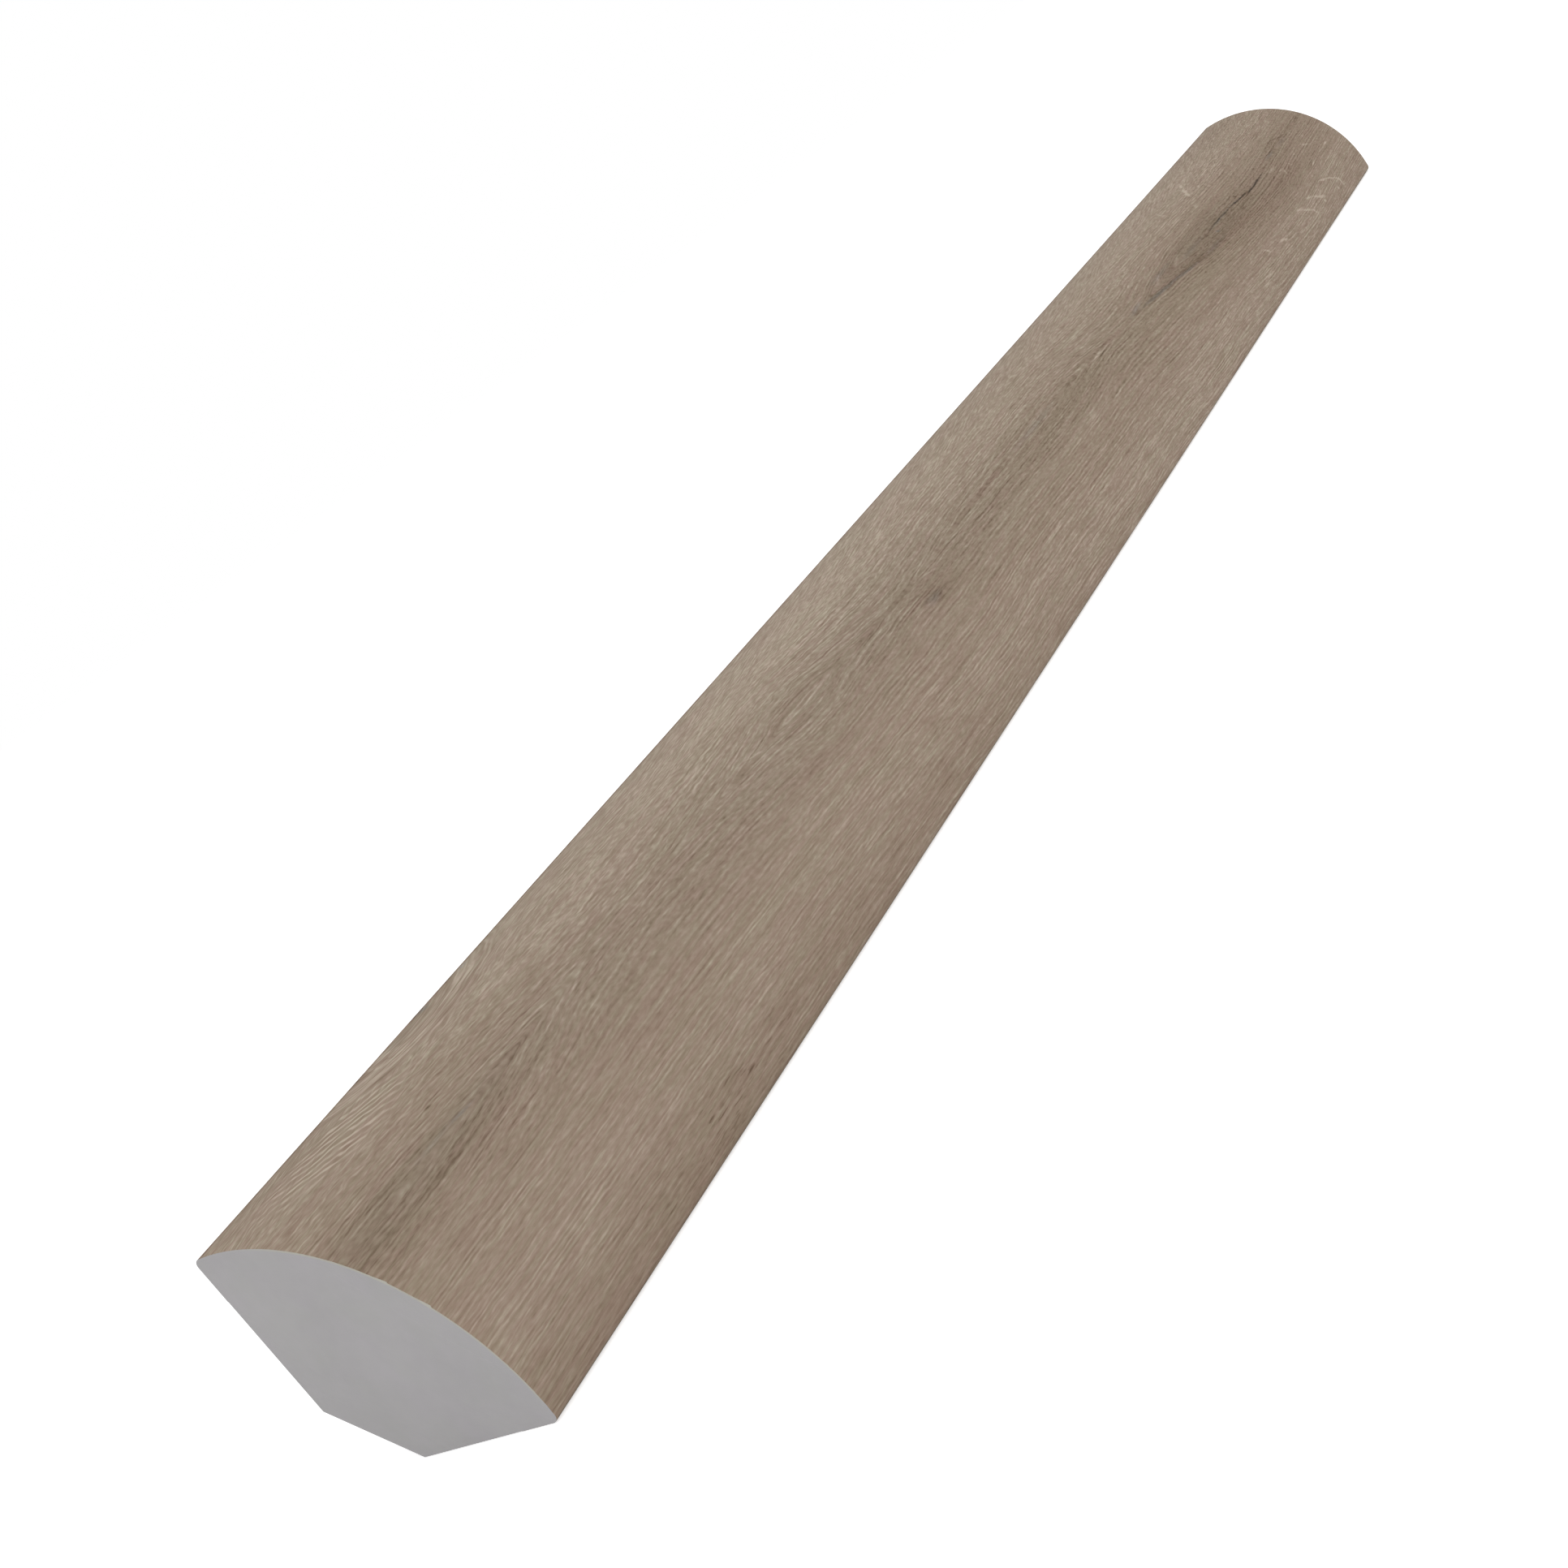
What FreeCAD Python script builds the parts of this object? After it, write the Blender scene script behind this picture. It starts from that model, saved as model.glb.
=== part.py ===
import FreeCAD, Part
import os
from math import cos, radians, sin

# Quarter round moulding
# A cut length of extruded floor trim. Its round face carries a printed wood film.
# The film goes round both noses and ends a little way in on each hidden flat.
# Sizes are in millimetres. The piece lies on its floor flat, with its wall flat upright.
# The origin is on the floor under the middle of the piece, and Y runs along the length.

# Driving sizes
leg = 19.05  # each leg, from the square heel to the outside of the nose
length = 266.7  # cut length, square at both ends
nose_radius = 0.6  # rounded corner of each nose, on the side of the flat
nose_straight = 0.4  # straight side of each nose, from its rounded corner to the round face
heel_chamfer = 5.5  # cut off each leg at the heel, so that the moulding clears a rough corner
film_thickness = 0.15
film_tuck = 3.0  # how far the film runs in on each flat, past the rounded corner

# Sizes that follow
nose_height = nose_radius + nose_straight
tuck_end = leg - nose_radius - film_tuck
heel_x = -leg / 2
near_y = -length / 2


def at(across, up):
    """A point of the near end: across from the wall flat and up from the floor flat."""
    return FreeCAD.Vector(heel_x + across, near_y, up)


def line(start, end):
    return Part.LineSegment(at(*start), at(*end)).toShape()


def arc(centre, radius, first, last):
    """A round stretch about a centre, between two angles in degrees."""
    ends = []
    for angle in (first, (first + last) / 2, last):
        turn = radians(angle)
        ends.append(at(centre[0] + radius * cos(turn), centre[1] + radius * sin(turn)))
    return Part.Arc(*ends).toShape()


def face_path(depth):
    """The covered outline, from the wall flat over the round face to the floor flat.

    It runs at one depth under the film's outer side, so that the film and its seat
    in the core come from the same path.
    """
    near_wall = depth
    near_top = leg - depth
    corner = leg - nose_radius
    return [
        line((near_wall, tuck_end), (near_wall, corner)),
        arc((nose_radius, corner), nose_radius - depth, 180, 90),
        line((nose_radius, near_top), (nose_height, near_top)),
        arc((nose_height, nose_height), leg - nose_height - depth, 90, 0),
        line((near_top, nose_height), (near_top, nose_radius)),
        arc((corner, nose_radius), nose_radius - depth, 0, -90),
        line((corner, depth), (tuck_end, depth)),
    ]


def extrude(edges):
    """The solid between the two square cuts, from the edges of its closed section."""
    outline = Part.Wire(Part.__sortEdges__(edges))
    return Part.Face(outline).extrude(FreeCAD.Vector(0, length, 0))


def step_on_wall():
    """The step that the film's thickness makes in the wall flat."""
    return line((0, tuck_end), (film_thickness, tuck_end))


def step_on_floor():
    """The same step in the floor flat."""
    return line((tuck_end, film_thickness), (tuck_end, 0))


def make_core():
    """The extruded core: the whole section, with a shallow seat for the film."""
    section = [
        line((0, heel_chamfer), (0, tuck_end)),
        step_on_wall(),
        *face_path(film_thickness),
        step_on_floor(),
        line((tuck_end, 0), (heel_chamfer, 0)),
        line((heel_chamfer, 0), (0, heel_chamfer)),
    ]
    return extrude(section)


def make_film():
    """The printed film, flush with both flats, so that the moulding still sits true."""
    section = [
        *face_path(0),
        step_on_floor(),
        *face_path(film_thickness),
        step_on_wall(),
    ]
    return extrude(section)


os.makedirs("parts", exist_ok=True)
for node, shape in (("core", make_core()), ("wrap_film", make_film())):
    shape.exportStep("parts/" + node + ".step")
    print(node, "valid", shape.isValid(), "volume in cubic centimetres", round(shape.Volume / 1000, 3))
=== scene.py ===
import random
from math import atan2, pi, radians

import bmesh
import bpy
from mathutils import Matrix, Vector


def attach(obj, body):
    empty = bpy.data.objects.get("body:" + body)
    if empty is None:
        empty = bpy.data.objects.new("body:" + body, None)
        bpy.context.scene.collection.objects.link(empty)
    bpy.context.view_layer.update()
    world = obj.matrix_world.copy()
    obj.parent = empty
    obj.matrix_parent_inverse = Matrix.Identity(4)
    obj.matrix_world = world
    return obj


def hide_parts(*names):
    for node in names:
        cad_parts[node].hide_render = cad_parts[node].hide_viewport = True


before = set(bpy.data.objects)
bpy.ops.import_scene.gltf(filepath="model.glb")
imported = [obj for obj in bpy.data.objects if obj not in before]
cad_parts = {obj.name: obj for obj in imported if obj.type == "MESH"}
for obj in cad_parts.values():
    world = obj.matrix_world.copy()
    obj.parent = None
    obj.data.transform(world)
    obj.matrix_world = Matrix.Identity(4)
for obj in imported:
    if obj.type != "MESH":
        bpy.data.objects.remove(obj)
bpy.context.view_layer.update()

# Quarter round moulding: a grey extruded core, and the printed wood film round its face.
# Lengths in this file are in millimetres unless a name ends in _m.

MM = 0.001
LEG = 19.05
LENGTH = 266.7
NOSE_RADIUS = 0.6
NOSE_HEIGHT = 1.0  # how far in from both flats the round face starts
HEEL_CHAMFER = 5.5
FILM = 0.15
TUCK_END = 15.45  # where the film ends on each flat, measured from the square heel
CORNER = LEG - NOSE_RADIUS
FACE_RADIUS = LEG - NOSE_HEIGHT
FACE_ARC = FACE_RADIUS * pi / 2
HEEL_X = -LEG / 2
NEAR_Y = -LENGTH / 2

NOSE_STEPS = 8
FACE_STEPS = 180
FILM_EDGE_ROUNDING = 0.02
BARE_EDGE_ROUNDING = 0.07
CUT_BAND = 0.03  # how far from the film's cut edge its points are still moved by the saw
SAW_ROUGHNESS = 0.012
SAME_CUT = 1e-6
ON_FLAT = 1e-4
RELIEF = 0.02  # how high the fine relief of the finishes stands

SMOOTH_BELOW = radians(28)  # faces that meet at less than this look like one curve
CORNER_ABOVE = radians(30)  # the core's faces that meet at more than this have a corner to soften
CUT_FACING = 0.35  # a face of the film that looks along the length by more than this is its cut


# The shape


def spot_on_cut(across, up):
    """A point of the near cut: across from the wall flat and up from the floor flat."""
    return Vector((HEEL_X + across, NEAR_Y, up))


class Outline:
    """A line drawn on the near cut by extruding and spinning its last point."""

    def __init__(self, shape, across, up):
        self.shape = shape
        self.tip = shape.verts.new(spot_on_cut(across, up))

    def run_to(self, across, up):
        made = bmesh.ops.extrude_vert_indiv(self.shape, verts=[self.tip])
        self.tip = made["verts"][0]
        self.tip.co = spot_on_cut(across, up)

    def turn_about(self, across, up, steps):
        """A quarter turn from the wall side towards the floor side."""
        made = bmesh.ops.spin(
            self.shape, geom=[self.tip], cent=spot_on_cut(across, up), axis=(0, 1, 0),
            angle=pi / 2, steps=steps, use_duplicate=False,
        )
        self.tip = next(v for v in made["geom_last"] if isinstance(v, bmesh.types.BMVert))

    def covered_side(self, depth):
        """Over the wall nose, the round face and the floor nose, at a depth in the film."""
        self.run_to(depth, CORNER)
        self.turn_about(NOSE_RADIUS, CORNER, NOSE_STEPS)
        self.run_to(NOSE_HEIGHT, LEG - depth)
        self.turn_about(NOSE_HEIGHT, NOSE_HEIGHT, FACE_STEPS)
        self.run_to(LEG - depth, NOSE_RADIUS)
        self.turn_about(CORNER, NOSE_RADIUS, NOSE_STEPS)
        self.run_to(TUCK_END, depth)


# How far from the near cut each ring of points lies. The rings crowd at both saw cuts.
STATIONS = (
    [0.0, 0.5, 1.5, 4.0]
    + [8.0 + 250.7 * i / 12 for i in range(13)]
    + [262.7, 265.2, 266.2, LENGTH]
)


def draw_out(shape):
    """Draws the outline out along the length, ring by ring, and returns the last ring's edges."""
    ring = shape.edges[:]
    for before, after in zip(STATIONS, STATIONS[1:]):
        made = bmesh.ops.extrude_edge_only(shape, edges=ring)["geom"]
        moved = [g for g in made if isinstance(g, bmesh.types.BMVert)]
        bmesh.ops.translate(shape, verts=moved, vec=(0, after - before, 0))
        ring = [
            g for g in made
            if isinstance(g, bmesh.types.BMEdge) and all(v in moved for v in g.verts)
        ]
    return ring


def depth_in_film(point):
    """How far a point lies under the film's outer side."""
    across, up = point.x - HEEL_X, point.z
    if across > NOSE_HEIGHT and up > NOSE_HEIGHT:
        return FACE_RADIUS - Vector((across - NOSE_HEIGHT, up - NOSE_HEIGHT)).length
    low, high = sorted((across, up))
    if low < NOSE_RADIUS and high > CORNER:
        return NOSE_RADIUS - Vector((NOSE_RADIUS - low, high - CORNER)).length
    return min(low, LEG - high)


def round_the_face(point):
    """The distance round the outline from the round face's start at the wall nose."""
    across, up = point.x - HEEL_X, point.z
    if across >= NOSE_HEIGHT and up >= NOSE_HEIGHT:
        return atan2(across - NOSE_HEIGHT, up - NOSE_HEIGHT) * FACE_RADIUS
    low, high = sorted((across, up))
    straight = NOSE_HEIGHT - NOSE_RADIUS
    if high <= CORNER:
        past = straight + NOSE_RADIUS * pi / 2 + CORNER - high
    elif low < NOSE_RADIUS:
        past = straight + NOSE_RADIUS * atan2(NOSE_RADIUS - low, high - CORNER)
    else:
        past = NOSE_HEIGHT - low
    return -past if across < up else FACE_ARC + past


def soften(shape, edges, width, segments):
    bmesh.ops.bevel(
        shape, geom=edges, offset=width, offset_type="OFFSET", affect="EDGES",
        segments=segments, profile=0.5, material=-1,
    )


def finished_piece(name, shape, materials):
    """The piece as an object in metres, with smooth curves, sharp corners and its face map."""
    bmesh.ops.recalc_face_normals(shape, faces=shape.faces[:])
    face_map = shape.loops.layers.uv.new("face")
    for face in shape.faces:
        face.smooth = True
        for corner in face.loops:
            place = corner.vert.co
            corner[face_map].uv = ((place.y - NEAR_Y) * MM, round_the_face(place) * MM)
    bmesh.ops.scale(shape, verts=shape.verts[:], vec=(MM, MM, MM))
    mesh = bpy.data.meshes.new(name)
    shape.to_mesh(mesh)
    shape.free()
    mesh.set_sharp_from_angle(angle=SMOOTH_BELOW)
    for material in materials:
        mesh.materials.append(material)
    piece = bpy.data.objects.new(name, mesh)
    bpy.context.scene.collection.objects.link(piece)
    return piece


# Where the saw lifted the print at the near cut: where along the face it starts and ends
# its sudden step, and how deep it is there.
CHIPS = [(14.2, 15.35, 0.085), (17.2, 18.5, 0.095), (5.6, 5.9, 0.03), (24.1, 24.5, 0.025)]


def chip_at(round_mm, rough):
    """How far the print's edge stands back from the near saw cut."""
    back = rough.random() * SAW_ROUGHNESS
    for start, end, deep in CHIPS:
        share = (round_mm - start) / (end - start)
        if 0 < share <= 1:
            back = max(back, deep * share)
    return back


def on_cut_rim(edge):
    """Whether an edge lies on a saw cut, round the film's outer side."""
    first, second = (v.co for v in edge.verts)
    return (
        abs(first.y - second.y) < SAME_CUT
        and min(abs(first.y - NEAR_Y), abs(first.y + NEAR_Y)) < SAME_CUT
        and all(depth_in_film(v.co) < FILM_EDGE_ROUNDING for v in edge.verts)
    )


def roughen_cuts(shape):
    """Moves the print's edge back from both saw cuts, by a little more here and there."""
    rough = random.Random(19)
    rim_points = [
        v for v in shape.verts
        if abs(v.co.y) > -NEAR_Y - CUT_BAND and depth_in_film(v.co) < CUT_BAND
    ]
    for point in sorted(rim_points, key=lambda v: (v.co.y, round_the_face(v.co), v.co.z)):
        if point.co.y < 0:
            point.co.y += chip_at(round_the_face(point.co), rough)
        else:
            point.co.y -= rough.random() * SAW_ROUGHNESS


def make_film(materials):
    """The printed film: its first material is the print, its second the cut edge."""
    shape = bmesh.new()
    line = Outline(shape, 0, TUCK_END)
    line.covered_side(0)
    draw_out(shape)
    bmesh.ops.recalc_face_normals(shape, faces=shape.faces[:])
    top = max(shape.faces, key=lambda f: f.calc_center_median().z)
    if top.normal.z < 0:
        bmesh.ops.reverse_faces(shape, faces=shape.faces[:])
    bmesh.ops.solidify(shape, geom=shape.faces[:], thickness=FILM)
    rims = [e for e in shape.edges if on_cut_rim(e)]
    soften(shape, rims, FILM_EDGE_ROUNDING, 2)
    roughen_cuts(shape)
    shape.normal_update()
    for face in shape.faces:
        face.material_index = 1 if abs(face.normal.y) > CUT_FACING else 0
    return finished_piece("wood_film", shape, materials)


def bare(point):
    """Whether a point of the core lies on a flat or on the heel's chamfer."""
    across, up = point.x - HEEL_X, point.z
    return min(across, up) < ON_FLAT or abs(across + up - HEEL_CHAMFER) < ON_FLAT


def make_core(materials):
    shape = bmesh.new()
    line = Outline(shape, 0, HEEL_CHAMFER)
    first = line.tip
    line.run_to(0, TUCK_END)
    line.run_to(FILM, TUCK_END)
    line.covered_side(FILM)
    line.run_to(TUCK_END, 0)
    line.run_to(HEEL_CHAMFER, 0)
    shape.edges.new((line.tip, first))
    near_ring = shape.edges[:]
    far_ring = draw_out(shape)
    for ring in (near_ring, far_ring):
        bmesh.ops.contextual_create(shape, geom=ring)
    corners = [
        e for e in shape.edges
        if len(e.link_faces) == 2
        and e.calc_face_angle(0) > CORNER_ABOVE
        and all(bare(v.co) for v in e.verts)
    ]
    soften(shape, corners, BARE_EDGE_ROUNDING, 3)
    return finished_piece("grey_core", shape, materials)


# The finishes


class Nodes:
    """A node tree, with short ways to add to it."""

    def __init__(self, tree):
        self.tree = tree

    def feed(self, socket, value):
        """Links a socket to another node's output, or sets its number or colour."""
        if isinstance(value, bpy.types.NodeSocket):
            self.tree.links.new(value, socket)
        else:
            socket.default_value = value

    def add(self, kind, *values, **settings):
        """A node with its settings, and with values for its first sockets."""
        node = self.tree.nodes.new("ShaderNode" + kind)
        for name, value in settings.items():
            setattr(node, name, value)
        for socket, value in zip(node.inputs, values):
            self.feed(socket, value)
        return node

    def point(self, x, y, z=0.0):
        return self.add("CombineXYZ", x, y, z).outputs[0]

    def calc(self, operation, *values):
        return self.add("Math", *values, operation=operation).outputs[0]

    def times(self, first, second):
        return self.calc("MULTIPLY", first, second)

    def total(self, *parts):
        """The sum of numbers, or of (number, share) pairs."""
        result = None
        for part in parts:
            if isinstance(part, tuple):
                so_far = 0.0 if result is None else result
                result = self.calc("MULTIPLY_ADD", part[0], part[1], so_far)
            else:
                result = part if result is None else self.calc("ADD", result, part)
        return result

    def blend(self, share, first, second):
        """The first number where share is 0, the second where it is 1."""
        return self.total(first, self.times(self.calc("SUBTRACT", second, first), share))

    def noise(self, where, grain, layer, detail=0.0, rough=0.5):
        """Soft noise about 0. The grain says how many steps it takes in a unit of length, and
        each layer number gives another pattern."""
        shift = (layer, layer * 1.7, layer * 2.3)
        scaled = self.add("VectorMath", where, grain, shift, operation="MULTIPLY_ADD").outputs[0]
        node = self.add("TexNoise", scaled)
        self.feed(node.inputs["Scale"], 1.0)
        self.feed(node.inputs["Detail"], detail)
        self.feed(node.inputs["Roughness"], rough)
        return self.calc("SUBTRACT", node.outputs[0], 0.5)

    def fade(self, value, start, end, low=0.0, high=1.0):
        """Runs smoothly from low to high as the value goes from start to end."""
        node = self.add("MapRange", interpolation_type="SMOOTHSTEP")
        names = ("Value", "From Min", "From Max", "To Min", "To Max")
        for name, number in zip(names, (value, start, end, low, high)):
            self.feed(node.inputs[name], number)
        return node.outputs[0]

    def curve(self, value, points, span, top=1):
        """A smooth line through points whose first number runs to span and second to top."""
        node = self.add("FloatCurve")
        self.feed(node.inputs["Value"], self.calc("DIVIDE", value, span))
        line = node.mapping.curves[0]
        while len(line.points) < len(points):
            line.points.new(0.5, 0.5)
        for dot, (x, y) in zip(line.points, points):
            dot.location = (x / span, y / top)
        node.mapping.update()
        return self.times(node.outputs[0], top)

    def spot(self, where, along, across, half_length, half_width, tilt=0.0):
        """1 in the middle of a long spot, and 0 from its edge outwards."""
        place = self.add(
            "Mapping", where, (along, across, 0), (0, 0, radians(tilt)),
            (half_length, half_width, 1), vector_type="TEXTURE",
        ).outputs[0]
        return self.add("TexGradient", place, gradient_type="SPHERICAL").outputs["Fac"]

    def spots(self, where, table, soft=False):
        """A table's spots added up, each times its own last number."""
        result = 0.0
        for *spot, strength in table:
            dot = self.spot(where, *spot)
            if soft:
                dot = self.fade(dot, 0.0, 1.0)
            result = self.calc("MULTIPLY_ADD", dot, strength, result)
        return result

    def mix(self, share, first, second, blend="MIX"):
        node = self.add("Mix", data_type="RGBA", blend_type=blend, clamp_factor=True)
        for name, value in (("Factor_Float", share), ("A_Color", first), ("B_Color", second)):
            socket = next(s for s in node.inputs if s.identifier == name)
            self.feed(socket, value)
        return next(s for s in node.outputs if s.identifier == "Result_Color")

    def ramp(self, value, stops):
        node = self.add("ValToRGB", value)
        bar = node.color_ramp
        while len(bar.elements) < len(stops):
            bar.elements.new(0.5)
        for element, (place, colour) in zip(bar.elements, stops):
            element.position = place
            element.color = (*colour, 1)
        return node.outputs[0]

    def seen(self):
        """1 for the camera and in reflections, 0 where the light falls on something."""
        path = self.add("LightPath").outputs
        seen = self.calc("MAXIMUM", path["Is Camera Ray"], path["Is Glossy Ray"])
        return self.calc("MAXIMUM", seen, path["Is Transmission Ray"])


class Finish(Nodes):
    """A material and the nodes that make it."""

    def __init__(self, name):
        self.material = bpy.data.materials.new(name)
        self.material.use_nodes = True
        super().__init__(self.material.node_tree)
        self.shader = self.tree.nodes["Principled BSDF"]

    def finish(self, colour, roughness, specular, height=None):
        self.feed(self.shader.inputs["Base Color"], colour)
        self.feed(self.shader.inputs["Roughness"], roughness)
        self.feed(self.shader.inputs["Specular IOR Level"], specular)
        if height is not None:
            bump = self.add("Bump")
            self.feed(bump.inputs["Strength"], 1.0)
            self.feed(bump.inputs["Distance"], RELIEF * MM)
            self.feed(bump.inputs["Height"], height)
            self.feed(self.shader.inputs["Normal"], bump.outputs[0])
        return self.material


CURVE_LENGTH = 267  # the curves along the print run from the near cut to just past the far one
CURVE_ROUND = 29  # and those across it run from the wall nose to just past the floor nose

# The print's tone from the wall nose, round the face, to the floor nose; towards the floor nose
# partly painted light, raised where the lamps leave that side short.
TONE_ROUND = [
    (0, 0.73), (4, 0.745), (6, 0.742), (8, 0.72), (10, 0.685), (12, 0.64), (14, 0.61), (16, 0.60),
    (18, 0.63), (20, 0.66), (22, 0.69), (24, 0.71), (26, 0.71), (29, 0.69),
]
# The line that the growth rings lie about, and how far under the print their middle is.
RING_LINE = [
    (0, 12.1), (16, 12.0), (33, 11.9), (60, 12.2), (75, 12.6), (94, 13.5), (112, 13.2),
    (135, 13.3), (156, 13.4), (172, 14.3), (190, 14.5), (207, 15.3), (222, 15.8), (233, 15.9),
    (243, 15.6), (255, 15.2), (267, 14.9),
]
RING_DEPTH = [
    (0, 0.2), (6, 0.12), (11, 0.25), (17, 0.65), (24, 1.3), (33, 2.0), (40, 2.1), (50, 1.85),
    (58, 1.45), (66, 0.9), (73.5, 0.4), (79, 0.8), (88, 1.4), (94, 1.7), (99, 1.55), (112, 1.15),
    (122, 0.95), (133, 0.8), (143, 0.85), (150, 1.1), (157, 1.5), (165, 1.9), (172, 2.0),
    (184, 1.4), (193, 0.85), (203, 0.3), (212, 0.1), (267, 0.1),
]
# How dark the heart of the V's is, from the near cut to the far one.
HEART = [
    (0, 0.25), (12, 0.35), (20, 0.5), (27, 0.35), (34, 0.05), (42, 0.0), (162, 0.0), (172, 0.4),
    (184, 0.65), (195, 0.9), (208, 0.9), (220, 0.55), (233, 0.2), (250, 0.1), (267, 0.15),
]
# Broad shades. Each spot has its middle along and across the print, its half length and half
# width, its tilt in degrees and its change of tone.
SHADES = [
    (2, 12.9, 38, 4.2, 0, -0.10), (85, 4, 75, 8, 0, 0.06), (20, 28, 75, 6, 0, -0.11),
    (240, 20, 45, 5, 0, -0.07), (215, 15, 60, 7, 0, -0.04), (255, 3, 32, 7, 0, -0.07),
    (5, 9, 36, 5, 0, -0.06), (205, 16.4, 34, 4.2, 5, -0.05), (225, 17, 34, 5, 0, -0.05),
    (98, 16, 8, 2.4, 0, -0.07), (165, 27, 70, 5, 0, 0.06), (60, 14, 35, 3, 0, 0.04),
    (28, 1.5, 12, 3, 0, -0.03), (140, 13.3, 44, 2.0, 1, -0.03), (160, 15.6, 70, 3, 1, -0.03),
    (255, 14.8, 18, 1.6, 0, -0.06), (6, 1.5, 12, 2.5, 0, -0.03), (262, 5, 16, 8, 0, -0.05),
    (26, 0.4, 7, 2.0, 0, -0.05), (70, 18, 45, 4, 0, 0.045), (130, 10, 30, 3, 0, 0.045),
    (28, 9.5, 18, 3, 0, -0.04), (80, 26.5, 28, 3, 0, -0.05), (215, 20, 60, 6, 0, -0.06),
    (160, 22, 20, 4, 0, -0.04), (12, 0.5, 26, 2, 0, -0.03),
]
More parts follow.
